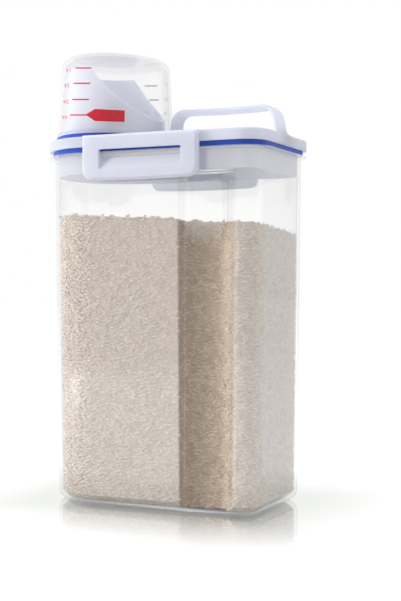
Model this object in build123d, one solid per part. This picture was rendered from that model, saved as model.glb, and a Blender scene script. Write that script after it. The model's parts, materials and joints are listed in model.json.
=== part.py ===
from build123d import *

import math
import os

# Rice bin with a clipped-on lid and a measuring cup that caps the pouring spout.
# Millimetres. +Z is up, the spout end is at -X, the carrying handle at +X, and the
# origin is the middle of the footprint at floor level.

# ---- Driving sizes: container ----
body_length = 152.0        # outside, at the flange
body_width = 84.0          # outside, at the flange
body_height = 216.0        # floor to the sealing face
front_flat = 4.0           # straight run left across the rounded front end
rear_corner = 12.5         # plan radius of the two rear corners
least_corner = 2.0         # for outlines well inside the walls
side_draft = 2.3           # how far each side leans in at the base
wall = 1.8
floor_thick = 2.5
foot_radius = 7.0          # rounding between the sides and the base
inner_foot_bevel = 3.5     # bevel between the walls and the floor, inside
base_hollow = 0.8          # depth of the hollow that leaves a foot ring
base_ring = 8.0            # width of that foot ring inside the rounding
flange_reach = 3.5
flange_thick = 1.6
rice_level = 173.5         # at the middle of the bin
rice_fall_rear = 0.055     # how much the level falls per mm towards the handle's end
rice_fall_far = 0.07       # how much it falls per mm towards +Y
rice_gap = 0.15            # between the heap's outer form and the walls
rice_runs = 4              # straight runs in each of the heap's round corners

# ---- Driving sizes: finger grips in the long sides ----
grip_depth = 9.5
grip_length = 36.4
grip_corner_gap = 1.5      # from the rear corner's start to the grip's ramp
grip_ramp = 13.0           # length of the gentle rear ramp
grip_top = 15.0            # flange top down to the grip's roof
grip_front_lean = 0.8
grip_inner_radius = 3.0
grip_ramp_radius = 9.0

# ---- Driving sizes: lid and main seal ----
seal_gap = 0.1             # seal's underside above the flange
seal_show = 3.2            # height of the seal seen between flange and lid
seal_reach = 1.2           # how far the seal stands out past the body
seal_groove = 2.5          # how deep the seal sits in the lid
seal_slack = 0.1
rim_height = 6.5
lid_plate = 2.0
lid_edge_bevel = 0.9
plug_clear = 0.6           # lid plug to container wall
plug_wall = 1.8
plug_grip_gap = 0.6        # plug's lower edge above the grip's inner roof

# ---- Driving sizes: measuring cup, its seat and the spout ----
cup_length = 72.5          # flange, along the bin
cup_front_gap = 1.5        # flange to the body's front end
cup_side_gap = 1.5         # flange to the lid's long edges
cup_height = 50.2
cup_flange_thick = 1.8
cup_flange_step = 0.5      # flange past the cup's wall, at the ends
cup_flange_step_side = 1.5
cup_draft = 2.7            # how far the wall leans in over the height
cup_wall = 1.6
cup_roof = 1.8
cup_edge_radius = 5.0
cup_seal_thick = 2.2
oval_end = 0.83            # end arcs' radius as a share of an oval's lesser half size
collar_clear = 0.5
collar_wall = 1.8
collar_height = 5.7
spout_collar_gap = 0.3
spout_side_gap = 6.6       # spout to collar, across the bin
spout_wall = 1.4           # at the tip, where the drafted outside comes nearest the straight bore
spout_draft = 1.3
spout_height = 46.2
spout_lip = 12.8           # height left at the rear of the slanted mouth
spout_step = 2.8           # flat top's end in front of the spout's middle
spout_sag = 2.6            # hollow of the slanted mouth

# ---- Driving sizes: carrying handle ----
handle_width = 14.5
handle_thick = 2.4
handle_height = 18.7
handle_cup_gap = 5.3       # cup flange to the front leg
handle_rear_gap = 2.8      # rear leg to the lid's rear edge
handle_front_lean = 1.0
handle_rear_lean = 4.4
handle_corner = 9.0
handle_dip = 0.7           # sag of the strap's middle, where the palm pulls it up
handle_edge_bevel = 0.6
foot_taper = 45.0
handle_foot_flare = 1.4    # spread of each leg where it meets the lid

# ---- Driving sizes: side latches ----
latch_front_gap = 0.3      # past the front end's rounding
latch_rear_gap = 22.3      # short of the rear corner's rounding
latch_drop = 27.7          # lid top to the latch's lower edge
latch_depth = 3.7          # whole depth of the tray-shaped latch
latch_skin = 2.0
latch_edge = 1.8           # width of its returned edge
latch_clear = 0.3          # returned edge to rim and flange
latch_corner = 6.0
latch_bow = 0.8
latch_bevel = 1.5
window_front_bar = 11.4
window_rear_bar = 10.5
window_top_bar = 8.8
window_lower_bar = 6.9
window_corner = 1.2
hook_thick = 2.5
hook_flat = 1.4
hook_clear = 0.3           # hook to the catch rib
hook_root = 5.1            # latch's lower edge up to the hook's underside
catch_width = 1.6
catch_drop = 1.7
hinge_radius = 1.0         # roll along the latch's top edge
hinge_clear = 2.0          # axis to the lid's rebate wall
rebate_end_gap = 0.4
rebate_drop = 1.6          # axis down to the rebate's floor
pin_radius = 0.5
pin_clear = 0.05
lug_reach = 0.9            # a lug's material round the hinge axis
lug_bevel = 0.35
lug_width = 4.0
lug_inset = 12.0
lug_side_gap = 0.3
lug_notch = 1.7            # axis out to the end of the notch for a lug
overlap = 1.0              # how far a cutter or a joined piece runs past a face

# ---- Worked-out places ----
half_length = body_length / 2
half_width = body_width / 2
front_radius = half_width - front_flat / 2
draft_angle = math.degrees(math.atan(side_draft / body_height))
lid_low = body_height + seal_gap + seal_show
lid_top = lid_low + rim_height
lid_under = lid_top - lid_plate
plug_out = -wall - plug_clear
plug_in = plug_out - plug_wall
grip_roof = body_height - grip_top
plug_low = grip_roof + wall + plug_grip_gap
rim_side = half_width + flange_reach

cup_a = cup_length / 2
cup_b = rim_side - cup_side_gap
cup_x = -half_length + cup_front_gap + cup_a
cup_low = lid_top + cup_seal_thick
cup_top = cup_low + cup_height
collar_a = cup_a - cup_flange_step - cup_wall - collar_clear
collar_b = cup_b - cup_flange_step_side - cup_wall - collar_clear
spout_a = collar_a - collar_wall - spout_collar_gap
spout_b = collar_b - collar_wall - spout_side_gap
spout_top = lid_top + spout_height
bore_a = spout_a - spout_draft - spout_wall
bore_b = spout_b - spout_draft - spout_wall

latch_front = -half_length + front_radius + latch_front_gap
latch_rear = half_length - rear_corner - latch_rear_gap
latch_in = rim_side + latch_clear
latch_out = latch_in + latch_depth
latch_low = lid_top - latch_drop
hinge_side = latch_in + hinge_clear / 4
hinge_z = lid_top - hinge_radius
window_front = latch_front + window_front_bar
window_rear = latch_rear - window_rear_bar
window_low = latch_low + window_lower_bar
window_high = lid_top - window_top_bar
catch_low = body_height - flange_thick - catch_drop
lug_places = (latch_front + lug_inset, latch_rear - lug_inset)
handle_front = cup_x + cup_a + handle_cup_gap
handle_rear = half_length + flange_reach - handle_rear_gap


def side_at(height):
    """How far the container's outline has moved at a height, from its size at the flange."""
    return -side_draft * (1 - height / body_height)


def outline(grow):
    """Plan outline of the bin grown by an amount: round front end, two tighter rear corners."""
    sketch = Rectangle(body_length + 2 * grow, body_width + 2 * grow)
    sketch = fillet(sketch.vertices().sort_by(Axis.X)[:2], front_radius + grow)
    rear_radius = max(rear_corner + grow, least_corner)
    return fillet(sketch.vertices().sort_by(Axis.X)[-2:], rear_radius)


def slab(face, low, high):
    """Straight-sided solid over a plan face, between two heights."""
    return Pos(0, 0, low) * extrude(face, high - low)


def tapered(grow, low, high):
    """Container-shaped solid between two heights, leaning with the container's draft."""
    return Pos(0, 0, low) * extrude(outline(side_at(low) + grow), high - low, taper=-draft_angle)


def both_sides(solid):
    """A solid made at the -Y side together with its mirror image at the +Y side."""
    return [solid, mirror(solid, Plane.XZ)]


def made_alike(solid):
    """The solid's +Y half joined to its mirror image, so that both sides have the same faces."""
    half = split(solid, bisect_by=Plane.XZ, keep=Keep.BOTTOM)
    return half + mirror(half, Plane.XZ)


# ---- Container ----
def grip_plan(grow):
    """Plan of the finger grip at the -Y side: steep at the front, a long ramp at the rear."""
    rear = half_length - rear_corner - grip_corner_gap
    front = rear - grip_length
    bottom = -half_width + grip_depth
    outside = -half_width - grip_depth
    ramp_run = grip_ramp * (bottom - outside) / grip_depth
    points = [
        (front, outside),
        (front, -half_width),
        (front + grip_front_lean, bottom),
        (rear - grip_ramp, bottom),
        (rear - grip_ramp + ramp_run, outside),
    ]
    plan = make_face(Polyline(*points, close=True))
    inner = [v for v in plan.vertices() if abs(v.Y - bottom) < seal_slack]
    inner.sort(key=lambda v: v.X)
    plan = fillet(inner[:1], grip_inner_radius)
    inner = [v for v in plan.vertices() if abs(v.Y - bottom) < seal_slack]
    plan = fillet(max(inner, key=lambda v: v.X), grip_ramp_radius)
    return offset(plan, grow, kind=Kind.INTERSECTION) if grow else plan


def grips(grow, low, high):
    """Both finger grips as solids, grown for the wall that follows them."""
    return both_sides(slab(grip_plan(grow), low, high))


def cavity():
    """Inside of the container, bevelled where the walls meet the floor."""
    inside = tapered(-wall, floor_thick, body_height + overlap)
    inside = chamfer(inside.edges().group_by(Axis.Z)[0], inner_foot_bevel)
    return inside - grips(wall, 0, grip_roof + wall)


def catch_ribs():
    """Rib under the flange at each long side, which the latch hook pulls against."""
    length = window_rear - window_front + 2 * overlap
    rib = Box(length, catch_width, catch_drop + flange_thick / 2)
    middle = (window_front + window_rear) / 2
    top = body_height - flange_thick / 2
    rib = Pos(middle, -rim_side + catch_width / 2, (catch_low + top) / 2) * rib
    return both_sides(rib)


def make_container():
    """Clear drafted container with a flange, finger grips and a foot ring."""
    body = tapered(0, 0, body_height)
    body = fillet(body.edges().group_by(Axis.Z)[0], foot_radius)
    body -= grips(0, -overlap, grip_roof)
    body += slab(outline(flange_reach), body_height - flange_thick, body_height)
    body += catch_ribs()
    body -= cavity()
    body -= slab(outline(side_at(0) - foot_radius - base_ring), -overlap, base_hollow)
    return made_alike(body)


# ---- Rice ----
def heap_plan(grow):
    """Plan of the heap: the bin's outline with its round corners cut into straight runs."""
    x = half_length + grow
    y = half_width + grow
    front = front_radius + grow
    rear = rear_corner + grow
    corners = [
        (front - x, y - front, front),
        (front - x, front - y, front),
        (x - rear, rear - y, rear),
        (x - rear, y - rear, rear),
    ]
    points = []
    for quarter, (centre_x, centre_y, radius) in enumerate(corners, start=1):
        for run in range(rice_runs + 1):
            angle = math.radians(90 * (quarter + run / rice_runs))
            points.append((centre_x + radius * math.cos(angle), centre_y + radius * math.sin(angle)))
    return make_face(Polyline(*points, close=True))


def above_rice():
    """Block over the rice, tilted as the rice lies in the bin: higher at the spout and at -Y."""
    size = 2 * body_length
    tilt_far = -math.degrees(math.atan(rice_fall_far))
    tilt_rear = math.degrees(math.atan(rice_fall_rear))
    block = Pos(0, 0, size / 2) * Box(size, size, size)
    return Pos(0, 0, rice_level) * Rot(tilt_far, tilt_rear, 0) * block


def make_rice():
    """Rice as one plain faceted heap, just clear of the container's walls."""
    low = floor_thick + rice_gap
    plan = heap_plan(side_at(low) - wall - rice_gap)
    heap = Pos(0, 0, low) * extrude(plan, body_height - low, taper=-draft_angle)
    heap = chamfer(heap.edges().group_by(Axis.Z)[0], inner_foot_bevel)
    heap -= grips(wall + rice_gap, 0, grip_roof + wall + rice_gap)
    return heap - above_rice()


# ---- Lid ----
def ring(outer, inner, low, high):
    """Band that follows the bin's outline between two amounts of growth."""
    return slab(outline(outer) - outline(inner), low, high)


def oval(a, b):
    """Plan oval of four tangent arcs centred on the cup: half length a along X, half width b."""
    short, long = sorted((a, b))
    end_radius = short * oval_end
    shift = long - end_radius
    side_radius = (short**2 + shift**2 - end_radius**2) / (2 * (short - end_radius))
    turn = math.atan2(shift, side_radius - short)
    join_x = end_radius * math.cos(turn)
    join_y = shift + end_radius * math.sin(turn)
    arcs = [
        ThreePointArc((join_x, -join_y), (short, 0), (join_x, join_y)),
        ThreePointArc((join_x, join_y), (0, long), (-join_x, join_y)),
        ThreePointArc((-join_x, join_y), (-short, 0), (-join_x, -join_y)),
        ThreePointArc((-join_x, -join_y), (0, -long), (join_x, -join_y)),
    ]
    quarter_turn = 90 if a > b else 0
    return Pos(cup_x, 0, 0) * Rot(0, 0, quarter_turn) * make_face(arcs)


def lid_shell():
    """Top plate with a thick rim, and the plug that goes down inside the container."""
    shell = slab(outline(flange_reach), lid_low, lid_top)
    shell = chamfer(shell.edges().group_by(Axis.Z)[-1], lid_edge_bevel)
    shell -= slab(outline(plug_in), lid_low - overlap, lid_under)
    shell -= ring(seal_reach + seal_slack, plug_out, lid_low - overlap, lid_low + seal_groove)
    return shell + ring(plug_out, plug_in, plug_low, lid_low + seal_groove)


def hinge_rebate():
    """Step cut along each long edge of the lid, where the latch's roll turns."""
    length = latch_rear - latch_front + 2 * rebate_end_gap
    wall_side = hinge_side - hinge_clear
    depth = latch_out - wall_side
    low = hinge_z - rebate_drop
    high = lid_top + overlap
    cut = Box(length, depth, high - low)
    cut = Pos((latch_front + latch_rear) / 2, -wall_side - depth / 2, (low + high) / 2) * cut
    return both_sides(cut)


def x_cylinder(radius, x_low, x_high):
    """Cylinder along X on the -Y hinge axis."""
    middle = (x_low + x_high) / 2
    return Pos(middle, -hinge_side, hinge_z) * Rot(0, 90, 0) * Cylinder(radius, x_high - x_low)


def lid_lugs():
    """Lugs that stand out of the lid's rebate and hold the latches' pins."""
    solids = []
    root = hinge_side - hinge_clear - overlap
    tip = hinge_side + lug_reach
    for place in lug_places:
        lug = Box(lug_width, tip - root, 2 * lug_reach)
        lug = Pos(place, -(tip + root) / 2, hinge_z) * lug
        lug = chamfer(lug.edges().filter_by(Axis.X).group_by(Axis.Y)[0], lug_bevel)
        reach = lug_width / 2 + overlap
        lug -= x_cylinder(pin_radius + pin_clear, place - reach, place + reach)
        solids += both_sides(lug)
    return solids


def make_lid():
    """Lid with the pouring hole, the cup's collar and the hinge lugs."""
    lid = lid_shell()
    lid -= hinge_rebate()
    lid += lid_lugs()
    collar = oval(collar_a, collar_b) - oval(collar_a - collar_wall, collar_b - collar_wall)
    lid += slab(collar, lid_under, lid_top + collar_height)
    return lid - slab(oval(bore_a, bore_b), lid_under - overlap, cup_top)


def make_lid_seal():
    """Blue seal ring that is squeezed between the lid and the flange."""
    return ring(seal_reach, plug_out + seal_slack, body_height + seal_gap, lid_low + seal_groove)


# ---- Spout and cup ----
def oval_cone(a, b, lean, low, high):
    """Oval solid that narrows upwards by a lean on every side."""
    angle = math.degrees(math.atan(lean / (high - low)))
    return Pos(0, 0, low) * extrude(oval(a, b), high - low, taper=angle)


def spout_mouth_cut():
    """Everything above the spout's mouth: a flat top, then a hollow slant down to the rear."""
    step = (cup_x - spout_step, spout_top)
    lip = (cup_x + spout_a, lid_top + spout_lip)
    beyond = cup_x + spout_a + overlap
    ceiling = spout_top + overlap
    slant = SagittaArc(step, lip, -spout_sag)
    edge = Polyline(lip, (beyond, lip[1]), (beyond, ceiling), (step[0], ceiling), step)
    face = make_face(Plane.XZ * (slant + edge))
    return extrude(face, spout_b + overlap, both=True)


def make_spout():
    """Tall oval spout with a drafted outside, a straight bore and a slanted mouth."""
    spout = oval_cone(spout_a, spout_b, spout_draft, lid_top, spout_top)
    spout -= slab(oval(bore_a, bore_b), lid_top, spout_top)
    return spout - spout_mouth_cut()


def make_cup_seal():
    """Blue seal ring round the collar, under the cup's flange."""
    seal = oval(cup_a, cup_b) - oval(collar_a + seal_slack, collar_b + seal_slack)
    return slab(seal, lid_top, cup_low)


def make_cup():
    """Clear measuring cup, mouth down over the spout, with a flange round its mouth."""
    a = cup_a - cup_flange_step
    b = cup_b - cup_flange_step_side
    outside = oval_cone(a, b, cup_draft, cup_low, cup_top)
    outside = fillet(outside.edges().group_by(Axis.Z)[-1], cup_edge_radius)
    outside += slab(oval(cup_a, cup_b), cup_low, cup_low + cup_flange_thick)
    inside = oval_cone(a - cup_wall, b - cup_wall, cup_draft, cup_low, cup_top - cup_roof)
    inside = chamfer(inside.edges().group_by(Axis.Z)[-1], cup_edge_radius - cup_wall)
    return made_alike(outside - inside)


# ---- Handle ----
def handle_face(inset):
    """Side view of the handle's arch, set in by an amount."""
    top = lid_top + handle_height - inset
    front_foot = (handle_front + inset, lid_top)
    front_top = (handle_front + handle_front_lean + inset, top)
    rear_top = (handle_rear - handle_rear_lean - inset, top)
    rear_foot = (handle_rear - inset, lid_top)
    dip = ThreePointArc(front_top, ((front_top[0] + rear_top[0]) / 2, top - handle_dip), rear_top)
    legs = Polyline(rear_top, rear_foot, front_foot, front_top)
    face = make_face(Plane.XZ * (dip + legs))
    return fillet(face.vertices().group_by(Axis.Z)[-1], handle_corner - inset)


def make_handle():
    """Fixed arch of flat strap over the rear of the lid, with flared feet."""
    arch = handle_face(0) - handle_face(handle_thick)
    handle = extrude(arch, handle_width / 2, both=True)
    long_edges = handle.edges().filter_by(lambda e: e.center().Z > lid_top + overlap)
    long_edges = long_edges.filter_by(lambda e: abs(abs(e.center().Y) - handle_width / 2) < pin_clear)
    handle = chamfer(long_edges, handle_edge_bevel)
    foot = Rectangle(handle_thick + 2 * handle_foot_flare, handle_width + 2 * handle_foot_flare)
    for leg in (handle_front + handle_thick / 2, handle_rear - handle_thick / 2):
        handle += Pos(leg, 0, lid_top) * extrude(foot, handle_foot_flare, taper=foot_taper)
    return handle


# ---- Latches ----
def latch_view(inset):
    """Front view of a latch: rounded lower corners and a slightly bowed lower edge."""
    left = latch_front + inset
    right = latch_rear - inset
    low = latch_low + latch_bow + inset
    top = lid_top
    bow = ThreePointArc((left, low), ((left + right) / 2, low - latch_bow), (right, low))
    sides = Polyline((right, low), (right, top), (left, top), (left, low))
    face = make_face(Plane.XZ * (bow + sides))
    return fillet(face.vertices().group_by(Axis.Z)[0], latch_corner - inset)


def latch_tray():
    """Tray-shaped latch plate with bevelled outer edges, hollow at the back."""
    plate = Pos(0, -latch_in, 0) * extrude(latch_view(0), latch_depth)
    outer = plate.edges().filter_by(lambda e: abs(e.center().Y + latch_out) < pin_clear)
    plate = chamfer(outer, latch_bevel)
    pocket = Pos(0, -latch_in, 0) * extrude(latch_view(latch_edge), latch_depth - latch_skin)
    return plate - pocket


def latch_window():
    """Window through the latch plate above the hook."""
    length = window_rear - window_front
    height = window_high - window_low
    view = Rectangle(length, height)
    view = fillet(view.vertices(), window_corner)
    view = Plane.XZ * Pos((window_front + window_rear) / 2, (window_low + window_high) / 2) * view
    return Pos(0, -latch_in, 0) * extrude(view, latch_depth + overlap)


def latch_hook():
    """Sloping ledge that rises inwards from the window's sill to under the catch rib."""
    tip = rim_side - catch_width
    top = catch_low - hook_clear
    skin_in = latch_out - latch_skin
    sill = latch_out - latch_bevel / 2
    points = [
        (-sill, window_low),
        (-tip - hook_flat, top),
        (-tip, top),
        (-tip, top - hook_thick),
        (-skin_in, latch_low + hook_root),
        (-sill, latch_low + hook_root),
    ]
    face = make_face(Plane.YZ * Polyline(*points, close=True))
    middle = (window_front + window_rear) / 2
    return Pos(middle, 0, 0) * extrude(face, (window_rear - window_front) / 2, both=True)


def make_latch():
    """Latch at the -Y side: tray, window, hook, hinge roll and pin."""
    latch = latch_tray()
    latch -= latch_window()
    latch += latch_hook()
    length = latch_rear - latch_front
    middle = (latch_front + latch_rear) / 2
    relief = 2 * hinge_radius + rebate_drop
    back = Box(length + overlap, hinge_side - latch_in + overlap, relief + overlap)
    back_side = -hinge_side + (hinge_side - latch_in + overlap) / 2
    latch -= Pos(middle, back_side, lid_top - relief + (relief + overlap) / 2) * back
    latch += x_cylinder(hinge_radius, latch_front, latch_rear)
    notch_depth = lug_notch + hinge_clear
    for place in lug_places:
        notch = Box(lug_width + 2 * lug_side_gap, notch_depth, relief + overlap)
        notch_y = -hinge_side - lug_notch + notch_depth / 2
        latch -= Pos(place, notch_y, lid_top - relief + (relief + overlap) / 2) * notch
        reach = lug_width / 2 + lug_side_gap + overlap
        latch += x_cylinder(pin_radius, place - reach, place + reach)
    return latch


# ---- Write every piece ----
def main():
    latch_left = make_latch()
    pieces = {
        "container": make_container(),
        "rice_fill": make_rice(),
        "lid": make_lid(),
        "lid_seal": make_lid_seal(),
        "pour_spout": make_spout(),
        "cup_seal": make_cup_seal(),
        "carry_handle": make_handle(),
        "measuring_cup": make_cup(),
        "latch_left": latch_left,
        "latch_right": mirror(latch_left, Plane.XZ),
    }
    os.makedirs("parts", exist_ok=True)
    for name, piece in pieces.items():
        export_step(piece, "parts/" + name + ".step")
        print(name, round(piece.volume), "mm3")


main()
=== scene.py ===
import json
import math
import random

import bmesh
import bpy
from mathutils import Matrix, Vector
from mathutils.bvhtree import BVHTree


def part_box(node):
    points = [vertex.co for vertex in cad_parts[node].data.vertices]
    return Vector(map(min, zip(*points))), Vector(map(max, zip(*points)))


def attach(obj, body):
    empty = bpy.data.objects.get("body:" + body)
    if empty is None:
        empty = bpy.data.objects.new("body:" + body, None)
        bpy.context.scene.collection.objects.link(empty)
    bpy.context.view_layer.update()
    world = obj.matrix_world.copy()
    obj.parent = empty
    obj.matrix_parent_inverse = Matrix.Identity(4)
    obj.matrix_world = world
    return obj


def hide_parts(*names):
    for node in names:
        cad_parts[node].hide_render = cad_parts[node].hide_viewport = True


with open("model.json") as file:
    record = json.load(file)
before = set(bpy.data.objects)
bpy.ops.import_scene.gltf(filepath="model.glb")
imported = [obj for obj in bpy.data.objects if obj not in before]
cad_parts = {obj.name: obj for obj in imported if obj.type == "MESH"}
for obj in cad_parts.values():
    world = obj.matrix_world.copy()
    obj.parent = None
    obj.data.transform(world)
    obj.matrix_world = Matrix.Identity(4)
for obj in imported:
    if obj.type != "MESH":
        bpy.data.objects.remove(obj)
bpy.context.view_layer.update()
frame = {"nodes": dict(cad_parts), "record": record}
nodes = frame["nodes"]

MM = 0.001

# ---- Photograph: frame in pixels, and where its camera stood ----
PHOTO_WIDTH = 401
PHOTO_HEIGHT = 601
FOCAL_PX = 1197.0
HORIZON_ROW = 286.4
CAMERA_PLACE = (0.3294, -0.6796, 0.1344)
CAMERA_TURN = math.radians(24.4)      # round from the broad side towards the handle's end
SENSOR = 36.0                         # millimetres
NEAREST = 0.01                        # metres in front of the camera from which things are drawn
BIN_MIDDLE = (0.0, 0.0, 0.14)

# ---- Rice ----
GRAIN_SEED = 11
GRAIN_LENGTH = 4.5 * MM
GRAIN_WIDTH = 1.65 * MM
GRAIN_SPACING = 1.6 * MM
GRAIN_TRIES = 110000                  # random places tried on the heap's surface
GRAIN_LENGTHS = (0.88, 1.1)           # how a grain's length varies, as a share
GRAIN_WIDTHS = (0.88, 1.08)
GRAIN_SINK = (0.42, 0.7)              # how deep its middle lies, in widths
GRAIN_FLATNESS = 0.7                  # its thickness over its width
GRAIN_SIDES = 5
GRAIN_RINGS = ((-0.27, 0.46), (0.25, 0.5))
GRAIN_FITS = 5                        # directions tried before a grain is left out
GRAIN_TILT = 0.14                     # how far it tilts out of the surface, in radians
GRAIN_LEAN = 0.45                     # how far its direction strays from level along a wall, in radians
GRAIN_LEAN_MOST = 0.6                 # and never more than this
GRAIN_LAYERS = ("rice_grains_low", "rice_grains_middle", "rice_grains_high")
FACES_UP = 0.5                        # a normal's rise from which a face counts as the heap's top
WALL_REACH = 2.0 * MM                 # a heap face this near the container's wall lies against it
TOP_WAVE = 0.5 * MM
TOP_WAVE_ALONG = 95.0                 # radians per metre
TOP_WAVE_ACROSS = 140.0
TOP_WAVE_SKEW = 60.0
CORE_INSET = 1.0 * MM

# ---- Gloss of the container's walls, lowered on the finger grips' inner faces as painted shade ----
GRIP_START = 25.6 * MM                # where the finger grips begin, along X
GRIP_END = 62.0 * MM
GRIP_FLOOR = 34.0 * MM                # just outside the grips' inner faces, across
GRIP_EDGE = 38.5 * MM
GLOSS_FADE_LOW = 158.0 * MM           # the grips are glossy again above these heights, where their painted shade fades out
GLOSS_FADE_HIGH = 173.0 * MM
WALL_GLOSS = 0.15
# The grips' gloss share, far below the walls', paints shade into the finger grips.
GRIP_GLOSS_PAINTED_SHADE = 0.01
GLOSS_EXPONENT = 5.0
EDGE_GLOSS = 0.5

# ---- Range in which a noise texture varies most ----
NOISE_LOW = 0.3
NOISE_HIGH = 0.7

# ---- Room and floor, as strengths and shares of white ----
ROOM_LIGHT = 0.53
BACKDROP_LIGHT = 1.0
FLOOR_LIT_GREY = 0.62                 # the floor as the object's surroundings
FLOOR_SEEN_GREY = 0.24                # the floor as it is seen, with a glow that makes it white
FLOOR_GLOW = 0.94
FLOOR_HALF = 6.0
MIRROR_SHARE = 0.8
MIRROR_REACH = 0.1                    # metres from the bin over which the reflection fades

# ---- Print on the cup, by columns and rows of the photograph ----
PRINT_LIFT = 0.08 * MM
PRINT_STEPS = 8                       # stretches of a band between two stations
LINE_THICK_PX = 1.4
LINE_ROWS = (68.0, 83.3, 99.5, 115.0)
LINE_LEFTS = (75.4, 73.6, 72.2, 70.3)
LINE_RIGHTS = (91.7, 90.3, 88.9, 87.0)
FLAG_TIP = (85.6, 114.6)
FLAG_SHOULDER = (94.9, 109.0, 121.1)  # column, upper row, lower row
FLAG_END = (124.7, 110.5, 122.0)
NUMBERS = ("1/4", "2/4", "3/4", "4/4")
NUMBER_COLUMNS = (71.4, 69.8, 68.6, 67.4)
NUMBER_WIDTH_PX = 5.0
NUMBER_HEIGHT_PX = 4.0
NUMBER_TOP_PX = 0.3                   # from a line's row down to its number
FAR_ROWS = (86.0, 100.0)
FAR_LEFTS = (144.5, 149.0)
FAR_RIGHTS = (157.5, 158.5)
FAR_NUMBERS = ("2/4", "3/4", "4/4")
FAR_NUMBER_ROWS = (82.0, 97.0, 111.5)
FAR_NUMBER_COLUMN = 163.6
FAR_NUMBER_WIDTH_PX = 3.2
FAR_START = 2.0                       # metres along a ray, well behind the cup


def link_object(name, mesh):
    """A new object with a mesh, linked to the scene."""
    obj = bpy.data.objects.new(name, mesh)
    bpy.context.scene.collection.objects.link(obj)
    return obj


# ---- Materials ----
def blank_material(name):
    """A node material with only its output; returns the material, its tree and that output."""
    material = bpy.data.materials.new(name)
    material.use_nodes = True
    tree = material.node_tree
    tree.nodes.clear()
    output = tree.nodes.new("ShaderNodeOutputMaterial")
    return material, tree, output


def principled(tree, colour, roughness):
    """A Principled shader with a plain colour and roughness."""
    shader = tree.nodes.new("ShaderNodeBsdfPrincipled")
    shader.inputs["Base Color"].default_value = (*colour, 1)
    shader.inputs["Roughness"].default_value = roughness
    return shader


def noise_texture(tree, scale, detail):
    """Noise in the object's own coordinates, per metre."""
    place = tree.nodes.new("ShaderNodeTexCoord")
    texture = tree.nodes.new("ShaderNodeTexNoise")
    texture.inputs["Scale"].default_value = scale
    texture.inputs["Detail"].default_value = detail
    tree.links.new(place.outputs["Object"], texture.inputs["Vector"])
    return texture


def map_range(tree, source, low, high, to_low, to_high):
    """A value moved from one range to another."""
    node = tree.nodes.new("ShaderNodeMapRange")
    node.inputs["From Min"].default_value = low
    node.inputs["From Max"].default_value = high
    node.inputs["To Min"].default_value = to_low
    node.inputs["To Max"].default_value = to_high
    tree.links.new(source, node.inputs["Value"])
    return node.outputs["Result"]


def math_node(tree, operation, first, second):
    """Two values put together by a Math operation."""
    node = tree.nodes.new("ShaderNodeMath")
    node.operation = operation
    tree.links.new(first, node.inputs[0])
    tree.links.new(second, node.inputs[1])
    return node.outputs["Value"]


def larger(tree, first, second):
    """The larger of two values."""
    return math_node(tree, "MAXIMUM", first, second)


def colour_ramp(tree, source, stops):
    """A colour ramp over (place, colour) stops."""
    ramp = tree.nodes.new("ShaderNodeValToRGB")
    elements = ramp.color_ramp.elements
    while len(elements) < len(stops):
        elements.new(0.5)
    for element, (place, colour) in zip(elements, stops):
        element.position = place
        element.color = (*colour, 1)
    tree.links.new(source, ramp.inputs["Fac"])
    return ramp.outputs["Color"]


def bump(tree, source, distance, strength):
    """A bump normal from a height."""
    node = tree.nodes.new("ShaderNodeBump")
    node.inputs["Distance"].default_value = distance
    node.inputs["Strength"].default_value = strength
    tree.links.new(source, node.inputs["Height"])
    return node.outputs["Normal"]


def mix_shaders(tree, share, first, second):
    """A mix of two shader outputs; the second one's share is a number or another node's output."""
    mix = tree.nodes.new("ShaderNodeMixShader")
    if isinstance(share, float):
        mix.inputs["Fac"].default_value = share
    else:
        tree.links.new(share, mix.inputs["Fac"])
    tree.links.new(first, mix.inputs[1])
    tree.links.new(second, mix.inputs[2])
    return mix.outputs["Shader"]


def glossy(tree, colour, roughness):
    """A plain reflecting shader."""
    shader = tree.nodes.new("ShaderNodeBsdfGlossy")
    shader.inputs["Color"].default_value = (*colour, 1)
    shader.inputs["Roughness"].default_value = roughness
    return shader


def moulded_plastic(name, colour, darker, roughness, through):
    """Satin milky plastic with a faint cloud in its colour, a fine skin and some light through it."""
    spread = 0.06
    material, tree, output = blank_material(name)
    shader = principled(tree, colour, roughness)
    cloud = noise_texture(tree, scale=45.0, detail=2.0)
    tint = colour_ramp(tree, cloud.outputs["Fac"], [(NOISE_LOW, darker), (NOISE_HIGH, colour)])
    tree.links.new(tint, shader.inputs["Base Color"])
    skin = noise_texture(tree, scale=1900.0, detail=3.0).outputs["Fac"]
    rough = map_range(tree, skin, NOISE_LOW, NOISE_HIGH, roughness - spread, roughness + spread)
    tree.links.new(rough, shader.inputs["Roughness"])
    tree.links.new(bump(tree, skin, distance=0.04 * MM, strength=0.25), shader.inputs["Normal"])
    milky = tree.nodes.new("ShaderNodeBsdfTranslucent")
    milky.inputs["Color"].default_value = (*colour, 1)
    mixed = mix_shaders(tree, through, shader.outputs["BSDF"], milky.outputs["BSDF"])
    tree.links.new(mixed, output.inputs["Surface"])
    return material


def by_facing(tree, exponent, face_on, edge_on):
    """A share that rises from where a surface is seen face on to its grazing edges."""
    facing = tree.nodes.new("ShaderNodeLayerWeight")
    facing.inputs["Blend"].default_value = 0.5
    power = tree.nodes.new("ShaderNodeMath")
    power.operation = "POWER"
    power.inputs[1].default_value = exponent
    tree.links.new(facing.outputs["Facing"], power.inputs[0])
    return map_range(tree, power.outputs["Value"], 0.0, 1.0, face_on, edge_on)


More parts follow.
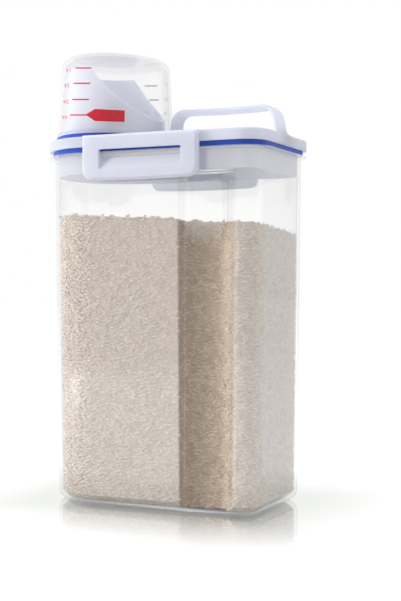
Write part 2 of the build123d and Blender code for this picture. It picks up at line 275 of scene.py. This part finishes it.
def painted_grip_shade_mask(tree):
    """0 on the finger grips' inner faces, where the wall's gloss is taken away as painted shade, 1 on every
    other wall and above the rice.
    """
    place = tree.nodes.new("ShaderNodeTexCoord")
    split = tree.nodes.new("ShaderNodeSeparateXYZ")
    tree.links.new(place.outputs["Object"], split.inputs["Vector"])
    across = tree.nodes.new("ShaderNodeMath")
    across.operation = "ABSOLUTE"
    tree.links.new(split.outputs["Y"], across.inputs[0])
    along = split.outputs["X"]
    beside = map_range(tree, across.outputs["Value"], GRIP_FLOOR, GRIP_EDGE, 0.0, 1.0)
    before = map_range(tree, along, GRIP_START - MM / 2, GRIP_START + MM / 2, 1.0, 0.0)
    behind = map_range(tree, along, GRIP_END, GRIP_END + MM, 0.0, 1.0)
    above = map_range(tree, split.outputs["Z"], GLOSS_FADE_LOW, GLOSS_FADE_HIGH, 0.0, 1.0)
    return larger(tree, larger(tree, beside, before), larger(tree, behind, above))


def clear_plastic(name, tint, haze_colour, face_on, edge_on, gloss_share, grip_gloss_painted_shade=None):
    """Clear plastic: open face on, grey-blue and hazy at its edges, with a gloss on its skin.

    With a grip gloss, the inner faces of the finger grips have that lower share of gloss instead, which
    paints shade into the grips.
    """
    material, tree, output = blank_material(name)
    clear = tree.nodes.new("ShaderNodeBsdfTransparent")
    clear.inputs["Color"].default_value = (*tint, 1)
    haze = principled(tree, haze_colour, 0.12)
    wave = noise_texture(tree, scale=14.0, detail=1.0)
    ripple = bump(tree, wave.outputs["Fac"], distance=MM, strength=0.08)
    tree.links.new(ripple, haze.inputs["Normal"])
    edges = by_facing(tree, 4.6, face_on, edge_on)
    body = mix_shaders(tree, edges, clear.outputs["BSDF"], haze.outputs["BSDF"])
    gloss = glossy(tree, (1, 1, 1), 0.06)
    tree.links.new(ripple, gloss.inputs["Normal"])
    shine_with_painted_grip_shade = by_facing(tree, GLOSS_EXPONENT, gloss_share, EDGE_GLOSS)
    # Painted shade: the grips' inner faces get far less gloss than the other walls, so they look darker.
    if grip_gloss_painted_shade is not None:
        grips_painted_shade = by_facing(tree, GLOSS_EXPONENT, grip_gloss_painted_shade, EDGE_GLOSS)
        shine_with_painted_grip_shade = larger(tree, grips_painted_shade, math_node(tree, "MULTIPLY", shine_with_painted_grip_shade, painted_grip_shade_mask(tree)))
    skin = mix_shaders(tree, shine_with_painted_grip_shade, body, gloss.outputs["BSDF"])
    tree.links.new(skin, output.inputs["Surface"])
    return material


def silicone(name, colour, darker):
    """Soft blue rubber with a dull skin."""
    material, tree, output = blank_material(name)
    shader = principled(tree, colour, 0.42)
    shader.inputs["Specular IOR Level"].default_value = 0.25
    cloud = noise_texture(tree, scale=240.0, detail=3.0)
    tint = colour_ramp(tree, cloud.outputs["Fac"], [(NOISE_LOW, darker), (NOISE_HIGH, colour)])
    tree.links.new(tint, shader.inputs["Base Color"])
    shader.inputs["Subsurface Weight"].default_value = 0.15
    shader.inputs["Subsurface Radius"].default_value = (0.3, 0.5, 1.0)
    shader.inputs["Subsurface Scale"].default_value = 0.002
    tree.links.new(bump(tree, cloud.outputs["Fac"], distance=0.1 * MM, strength=0.2), shader.inputs["Normal"])
    tree.links.new(shader.outputs["BSDF"], output.inputs["Surface"])
    return material


def rice_material(name, low, high, roughness):
    """Dry rice: each grain has its own tone between two colours, slightly waxy."""
    material, tree, output = blank_material(name)
    shader = principled(tree, high, roughness)
    place = tree.nodes.new("ShaderNodeTexCoord")
    cells = tree.nodes.new("ShaderNodeTexVoronoi")
    cells.inputs["Scale"].default_value = 330.0
    tree.links.new(place.outputs["Object"], cells.inputs["Vector"])
    split = tree.nodes.new("ShaderNodeSeparateColor")
    tree.links.new(cells.outputs["Color"], split.inputs["Color"])
    tone = colour_ramp(tree, split.outputs["Red"], [(0.0, low), (0.85, high)])
    tree.links.new(tone, shader.inputs["Base Color"])
    shader.inputs["Subsurface Weight"].default_value = 0.6
    shader.inputs["Subsurface Radius"].default_value = (1.0, 0.85, 0.7)
    shader.inputs["Subsurface Scale"].default_value = 0.0016
    tree.links.new(shader.outputs["BSDF"], output.inputs["Surface"])
    return material


def print_material(name, colour, darker):
    """Ink of the printed scale, slightly uneven."""
    material, tree, output = blank_material(name)
    shader = principled(tree, colour, 0.5)
    blotch = noise_texture(tree, scale=700.0, detail=2.0)
    tint = colour_ramp(tree, blotch.outputs["Fac"], [(0.35, darker), (0.6, colour)])
    tree.links.new(tint, shader.inputs["Base Color"])
    tree.links.new(shader.outputs["BSDF"], output.inputs["Surface"])
    return material


materials = {
    "lid_plastic": moulded_plastic(
        "lid_plastic", colour=(0.835, 0.85, 0.905), darker=(0.805, 0.82, 0.89), roughness=0.34, through=0.5
    ),
    # The clear body's gloss is taken away on the finger grips' inner faces: painted shade in the grips.
    "clear_body": clear_plastic(
        "clear_body", tint=(1.0, 0.999, 0.996), haze_colour=(0.47, 0.50, 0.57), face_on=0.006, edge_on=0.75,
        gloss_share=WALL_GLOSS, grip_gloss_painted_shade=GRIP_GLOSS_PAINTED_SHADE
    ),
    "clear_cup": clear_plastic(
        "clear_cup", tint=(0.992, 0.990, 0.991), haze_colour=(0.56, 0.56, 0.62), face_on=0.012, edge_on=0.72,
        gloss_share=0.03
    ),
    "blue_seal": silicone("blue_seal", colour=(0.03, 0.09, 0.46), darker=(0.024, 0.072, 0.39)),
    "rice": rice_material("rice", low=(0.565, 0.445, 0.35), high=(0.715, 0.585, 0.475), roughness=0.6),
}
# Darker rice for the heap's body: painted shade in the gaps between the outer grains.
rice_core_painted_shade_material = rice_material(
    "rice_depth", low=(0.49, 0.38, 0.29), high=(0.575, 0.455, 0.355), roughness=0.8
)
red_ink = print_material("red_ink", colour=(0.58, 0.013, 0.030), darker=(0.50, 0.010, 0.024))
grey_ink = print_material("grey_ink", colour=(0.52, 0.49, 0.55), darker=(0.45, 0.42, 0.48))
faded_ink = print_material("faded_ink", colour=(0.80, 0.52, 0.52), darker=(0.72, 0.44, 0.45))


def finish_cad_nodes():
    """Gives every CAD node the material of its slot."""
    for subpart in frame["record"]["subparts"]:
        mesh = nodes[subpart["node"]].data
        mesh.materials.clear()
        mesh.materials.append(materials[subpart["material_slot"]])


# ---- Rice ----
def grain_points():
    """Corners and faces of one rice grain along X: two rings between blunt ends."""
    points = [(-0.5, 0.0, 0.0)]
    for along, radius in GRAIN_RINGS:
        for side in range(GRAIN_SIDES):
            turn = 2 * math.pi * side / GRAIN_SIDES
            points.append((along, radius * math.cos(turn), radius * GRAIN_FLATNESS * math.sin(turn)))
    points.append((0.5, 0.0, 0.0))
    last = len(points) - 1
    faces = []
    for side in range(GRAIN_SIDES):
        first = 1 + side
        second = 1 + (side + 1) % GRAIN_SIDES
        faces.append((0, second, first))
        faces.append((first, second, second + GRAIN_SIDES, first + GRAIN_SIDES))
        faces.append((last, first + GRAIN_SIDES, second + GRAIN_SIDES))
    return points, faces


def surface_samples(mesh, count, rng):
    """Random points with normals over a mesh's triangles, evenly by area."""
    mesh.calc_loop_triangles()
    corners = [v.co for v in mesh.vertices]
    triangles = [tuple(t.vertices) for t in mesh.loop_triangles]
    normals = [t.normal.copy() for t in mesh.loop_triangles]
    areas = [t.area for t in mesh.loop_triangles]
    chosen = rng.choices(range(len(triangles)), weights=areas, k=count)
    samples = []
    for index in chosen:
        a, b, c = (corners[i] for i in triangles[index])
        first = math.sqrt(rng.random())
        second = rng.random()
        place = a * (1 - first) + b * (first * (1 - second)) + c * (first * second)
        samples.append((place, normals[index]))
    return samples


def spaced(samples, spacing):
    """The samples that keep at least a spacing from those kept before them."""
    kept = []
    cells = {}
    for place, normal in samples:
        key = tuple(math.floor(value / spacing) for value in place)
        crowded = False
        for dx in (-1, 0, 1):
            for dy in (-1, 0, 1):
                for dz in (-1, 0, 1):
                    for other in cells.get((key[0] + dx, key[1] + dy, key[2] + dz), ()):
                        if (other - place).length < spacing:
                            crowded = True
        if not crowded:
            cells.setdefault(key, []).append(place)
            kept.append((place, normal))
    return kept


def mesh_tree(name):
    """Search tree of a CAD node's mesh."""
    mesh = nodes[name].data
    return BVHTree.FromPolygons([v.co for v in mesh.vertices], [tuple(p.vertices) for p in mesh.polygons])


def against_wall(samples, wall_tree):
    """The samples moved out to the container's inner wall, or gently waved on the heap's top."""
    placed = []
    for place, normal in samples:
        wall_place, _, _, _ = wall_tree.ray_cast(place, normal, WALL_REACH)
        if wall_place is not None:
            placed.append((wall_place, normal))
        elif normal.z > FACES_UP:
            wave = math.sin(place.x * TOP_WAVE_ALONG)
            wave += math.cos(place.y * TOP_WAVE_ACROSS + place.x * TOP_WAVE_SKEW)
            placed.append((place + Vector((0, 0, TOP_WAVE * wave)), normal))
        else:
            placed.append((place, normal))
    return placed


def grain_frame(normal, lean, tilt):
    """Axes of a grain that lies in a surface, nearly level there, and tilted a little."""
    level = Vector((0, 0, 1)).cross(normal)
    if level.length < 0.5:            # the surface itself is nearly level
        level = Vector((1, 0, 0))
    along = Matrix.Rotation(lean, 3, normal) @ level.normalized()
    across = normal.cross(along).normalized()
    along = Matrix.Rotation(tilt, 3, across) @ along
    return along, across, along.cross(across)


def in_wall(tree, point):
    """True if a point lies inside the container's plastic."""
    near, normal, _, _ = tree.find_nearest(point)
    return (point - near).dot(normal) < 0


def grain_vertices(shape, surface, normal, tree, rng):
    """Corners of one grain that lies against a surface, or nothing where it doesn't fit."""
    length = GRAIN_LENGTH * rng.uniform(*GRAIN_LENGTHS)
    width = GRAIN_WIDTH * rng.uniform(*GRAIN_WIDTHS)
    spread, most = (math.pi, math.pi) if abs(normal.z) > FACES_UP else (GRAIN_LEAN, GRAIN_LEAN_MOST)
    for _ in range(GRAIN_FITS):
        lean = max(-most, min(most, rng.gauss(0, spread)))
        along, across, up = grain_frame(normal, lean, rng.gauss(0, GRAIN_TILT))
        sink = width * rng.uniform(*GRAIN_SINK) + abs(along.dot(normal)) * length / 2
        centre = surface - normal * sink
        ends = (centre + along * length / 2, centre - along * length / 2)
        if not any(in_wall(tree, end) for end in ends):
            axes = (along * length, across * width, up * width)
            return [centre + axes[0] * x + axes[1] * y + axes[2] * z for x, y, z in shape]
    return []


def make_grains(name, samples, tree, rng):
    """One mesh of many grains lying against the rice's outer form."""
    shape, faces = grain_points()
    vertices = []
    polygons = []
    for surface, normal in samples:
        corners = grain_vertices(shape, surface, normal, tree, rng)
        if corners:
            base = len(vertices)
            vertices += corners
            polygons += [tuple(base + corner for corner in face) for face in faces]
    mesh = bpy.data.meshes.new(name)
    mesh.from_pydata(vertices, [], polygons)
    mesh.polygons.foreach_set("use_smooth", [True] * len(polygons))
    mesh.materials.append(materials["rice"])
    mesh.update()
    return link_object(name, mesh)


def make_core(source):
    """The heap's body just inside its outer grains, which closes the gaps between them; its darker rice
    colour is painted shade in those gaps.
    """
    shape = bmesh.new()
    shape.from_mesh(source.data)
    bmesh.ops.remove_doubles(shape, verts=shape.verts, dist=MM / 100)
    shape.normal_update()
    for vertex in shape.verts:
        vertex.co -= vertex.normal * CORE_INSET
    mesh = bpy.data.meshes.new("rice_depth")
    shape.to_mesh(mesh)
    shape.free()
    mesh.materials.append(rice_core_painted_shade_material)
    return link_object("rice_depth", mesh)


def make_rice():
    """Thousands of grains against the container's walls and on top of the heap."""
    rng = random.Random(GRAIN_SEED)
    source = nodes["rice_fill"]
    wall_tree = mesh_tree("container")
    samples = spaced(surface_samples(source.data, GRAIN_TRIES, rng), GRAIN_SPACING)
    samples = against_wall(samples, wall_tree)
    samples.sort(key=lambda sample: sample[0].z)
    share = math.ceil(len(samples) / len(GRAIN_LAYERS))
    core = make_core(source)
    pieces = [core]
    for layer, name in enumerate(GRAIN_LAYERS):
        pieces.append(make_grains(name, samples[layer * share:(layer + 1) * share], wall_tree, rng))
    for piece in pieces:
        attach(piece, "container")
    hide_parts("rice_fill")


# ---- Print on the cup ----
def photo_ray(column, row):
    """Start and direction of the ray through a pixel of the photograph."""
    forward = Vector((-math.sin(CAMERA_TURN), math.cos(CAMERA_TURN), 0))
    right = Vector((math.cos(CAMERA_TURN), math.sin(CAMERA_TURN), 0))
    across = (column - PHOTO_WIDTH / 2) / FOCAL_PX
    rise = (HORIZON_ROW - row) / FOCAL_PX
    return Vector(CAMERA_PLACE), (forward + right * across + Vector((0, 0, rise))).normalized()


def on_cup(tree, column, row, far):
    """Place just off the cup's outer wall behind a pixel, on its near or its far side."""
    start, aim = photo_ray(column, row)
    if far:
        start += aim * FAR_START
        aim = -aim
    place, normal, _, _ = tree.ray_cast(start, aim)
    return place + normal * PRINT_LIFT


def printed(name, points, faces, ink, tree, far):
    """A print of flat pixel points laid on the cup's outer wall."""
    mesh = bpy.data.meshes.new(name)
    vertices = [on_cup(tree, column, row, far) for column, row in points]
    mesh.from_pydata(vertices, [], faces)
    mesh.materials.append(ink)
    mesh.update()
    piece = link_object(name, mesh)
    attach(piece, "cup")


def print_band(name, stations, ink, tree, far):
    """A band printed between stations of (column, upper row, lower row), from left to right."""
    points = []
    for (left, left_up, left_low), (right, right_up, right_low) in zip(stations, stations[1:]):
        for step in range(PRINT_STEPS + 1):
            share = step / PRINT_STEPS
            column = left + (right - left) * share
            points.append((column, left_up + (right_up - left_up) * share))
            points.append((column, left_low + (right_low - left_low) * share))
    faces = [(i + 1, i + 3, i + 2, i) for i in range(0, len(points) - 2, 2)]
    printed(name, points, faces, ink, tree, far)


def print_number(name, text, place, width, ink, tree, far):
    """A number printed upside down, as the cup's own scale is while the cup caps the spout."""
    curve = bpy.data.curves.new(name, "FONT")
    curve.body = text
    letters = link_object(name + "_text", curve)
    graph = bpy.context.evaluated_depsgraph_get()
    flat = bpy.data.meshes.new_from_object(letters.evaluated_get(graph))
    bpy.data.objects.remove(letters)
    narrow = width / max(v.co.x for v in flat.vertices)
    short = NUMBER_HEIGHT_PX / max(v.co.y for v in flat.vertices)
    column, row = place
    turn = 1 if far else -1
    points = [(column + turn * v.co.x * narrow, row + v.co.y * short) for v in flat.vertices]
    faces = [tuple(p.vertices) for p in flat.polygons]
    printed(name, points, faces, ink, tree, far)


def make_print():
    """Red scale with a bare arrow flag on the near side, and the grey scale on the far side."""
    tree = mesh_tree("measuring_cup")
    thick = LINE_THICK_PX / 2
    near = zip(LINE_ROWS, LINE_LEFTS, LINE_RIGHTS, NUMBERS, NUMBER_COLUMNS)
    for mark, (row, left, right, number, column) in enumerate(near, start=1):
        stations = [(left, row - thick, row + thick), (right, row - thick, row + thick)]
        print_band(f"scale_line_{mark}", stations, red_ink, tree, False)
        place = (column, row + NUMBER_TOP_PX)
        print_number(f"scale_number_{mark}", number, place, NUMBER_WIDTH_PX, red_ink, tree, False)
    tip = (FLAG_TIP[0], FLAG_TIP[1], FLAG_TIP[1])
    print_band("scale_flag", [tip, FLAG_SHOULDER, FLAG_END], red_ink, tree, False)
    for mark, (row, left, right) in enumerate(zip(FAR_ROWS, FAR_LEFTS, FAR_RIGHTS), start=1):
        stations = [(left, row - thick, row + thick), (right, row - thick, row + thick)]
        print_band(f"far_line_{mark}", stations, grey_ink, tree, True)
    for mark, (row, number) in enumerate(zip(FAR_NUMBER_ROWS, FAR_NUMBERS), start=1):
        place = (FAR_NUMBER_COLUMN, row)
        print_number(f"far_number_{mark}", number, place, FAR_NUMBER_WIDTH_PX, faded_ink, tree, True)


# ---- Floor, light and camera ----
def distance_from_bin(tree):
    """How far a floor point lies from the bin's footprint, in metres."""
    low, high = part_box("container")
    place = tree.nodes.new("ShaderNodeTexCoord").outputs["Object"]
    steps = [("ABSOLUTE", None), ("SUBTRACT", (high[0], high[1], 0)), ("MAXIMUM", (0, 0, 0))]
    for operation, other in steps:
        node = tree.nodes.new("ShaderNodeVectorMath")
        node.operation = operation
        if other:
            node.inputs[1].default_value = other
        tree.links.new(place, node.inputs[0])
        place = node.outputs["Vector"]
    length = tree.nodes.new("ShaderNodeVectorMath")
    length.operation = "LENGTH"
    tree.links.new(place, length.inputs[0])
    return length.outputs["Value"]


def seen_directly(tree):
    """1 for rays from the camera, off a glossy surface or through a clear one, and 0 for the others."""
    rays = tree.nodes.new("ShaderNodeLightPath").outputs
    seen = larger(tree, rays["Is Camera Ray"], rays["Is Glossy Ray"])
    return larger(tree, seen, rays["Is Transmission Ray"])


def grey_diffuse(tree, grey):
    """A plain grey diffuse shader."""
    shader = tree.nodes.new("ShaderNodeBsdfDiffuse")
    shader.inputs["Color"].default_value = (grey, grey, grey, 1)
    return shader.outputs["BSDF"]


def floor_material():
    """White floor that keeps the object's shadow and, near the object, a soft reflection."""
    material, tree, output = blank_material("floor_white")
    glow = tree.nodes.new("ShaderNodeEmission")
    glow.inputs["Strength"].default_value = FLOOR_GLOW
    seen = tree.nodes.new("ShaderNodeAddShader")
    tree.links.new(grey_diffuse(tree, FLOOR_SEEN_GREY), seen.inputs[0])
    tree.links.new(glow.outputs["Emission"], seen.inputs[1])
    mirror = glossy(tree, (0.80, 0.82, 0.79), 0.04)
    share = map_range(tree, distance_from_bin(tree), 0.0, MIRROR_REACH, MIRROR_SHARE, 0.0)
    polished = mix_shaders(tree, share, seen.outputs["Shader"], mirror.outputs["BSDF"])
    shown = mix_shaders(tree, seen_directly(tree), grey_diffuse(tree, FLOOR_LIT_GREY), polished)
    tree.links.new(shown, output.inputs["Surface"])
    return material


def make_floor():
    """Wide plain floor under the object."""
    mesh = bpy.data.meshes.new("floor")
    corners = [(FLOOR_HALF * x, FLOOR_HALF * y, 0) for x, y in ((-1, -1), (1, -1), (1, 1), (-1, 1))]
    mesh.from_pydata(corners, [], [(0, 1, 2, 3)])
    mesh.materials.append(floor_material())
    link_object("floor", mesh)


def background(tree, strength):
    """A plain white background."""
    node = tree.nodes.new("ShaderNodeBackground")
    node.inputs["Color"].default_value = (1, 1, 1, 1)
    node.inputs["Strength"].default_value = strength
    return node.outputs["Background"]


def make_world():
    """White surroundings: plain light on the object, pure white where they are seen."""
    world = bpy.data.worlds.new("white_room")
    bpy.context.scene.world = world
    world.use_nodes = True
    tree = world.node_tree
    tree.nodes.clear()
    output = tree.nodes.new("ShaderNodeOutputWorld")
    room = background(tree, ROOM_LIGHT)
    backdrop = background(tree, BACKDROP_LIGHT)
    tree.links.new(mix_shaders(tree, seen_directly(tree), room, backdrop), output.inputs["Surface"])


def area_lamp(name, place, width, height, power):
    """Soft lamp of a given width and height, aimed at the middle of the bin."""
    lamp = bpy.data.lights.new(name, "AREA")
    lamp.shape = "RECTANGLE"
    lamp.size = width
    lamp.size_y = height
    lamp.energy = power
    obj = bpy.data.objects.new(name, lamp)
    obj.location = place
    aim = Vector(BIN_MIDDLE) - Vector(place)
    obj.rotation_euler = aim.to_track_quat("-Z", "Y").to_euler()
    bpy.context.scene.collection.objects.link(obj)
    return obj


def make_lamps():
    """A key lamp that grazes the broad side from the left, one overhead and a tall one at the right.

    None of them shows in a reflection.
    """
    lamps = [
        area_lamp("key_lamp", (-0.82, -0.45, 0.42), width=0.28, height=0.6, power=9.8),
        area_lamp("top_lamp", (0.0, -0.1, 1.35), width=1.2, height=1.2, power=9.0),
        area_lamp("right_lamp", (1.18, -0.09, 0.2), width=0.9, height=1.9, power=5.2),
    ]
    for lamp in lamps:
        lamp.visible_glossy = False


def make_camera():
    """Camera at the photograph's place, level, with its horizon above the middle row."""
    lens = bpy.data.cameras.new("camera")
    lens.sensor_width = SENSOR
    lens.lens = FOCAL_PX / PHOTO_HEIGHT * SENSOR
    lens.shift_y = (HORIZON_ROW - PHOTO_HEIGHT / 2) / PHOTO_HEIGHT
    lens.clip_start = NEAREST
    camera = bpy.data.objects.new("camera", lens)
    camera.location = CAMERA_PLACE
    camera.rotation_euler = (math.pi / 2, 0, CAMERA_TURN)
    bpy.context.scene.collection.objects.link(camera)
    bpy.context.scene.camera = camera


make_camera()
finish_cad_nodes()
make_rice()
make_print()
make_floor()
make_world()
make_lamps()

view = bpy.context.scene.view_settings
view.view_transform = "Standard"
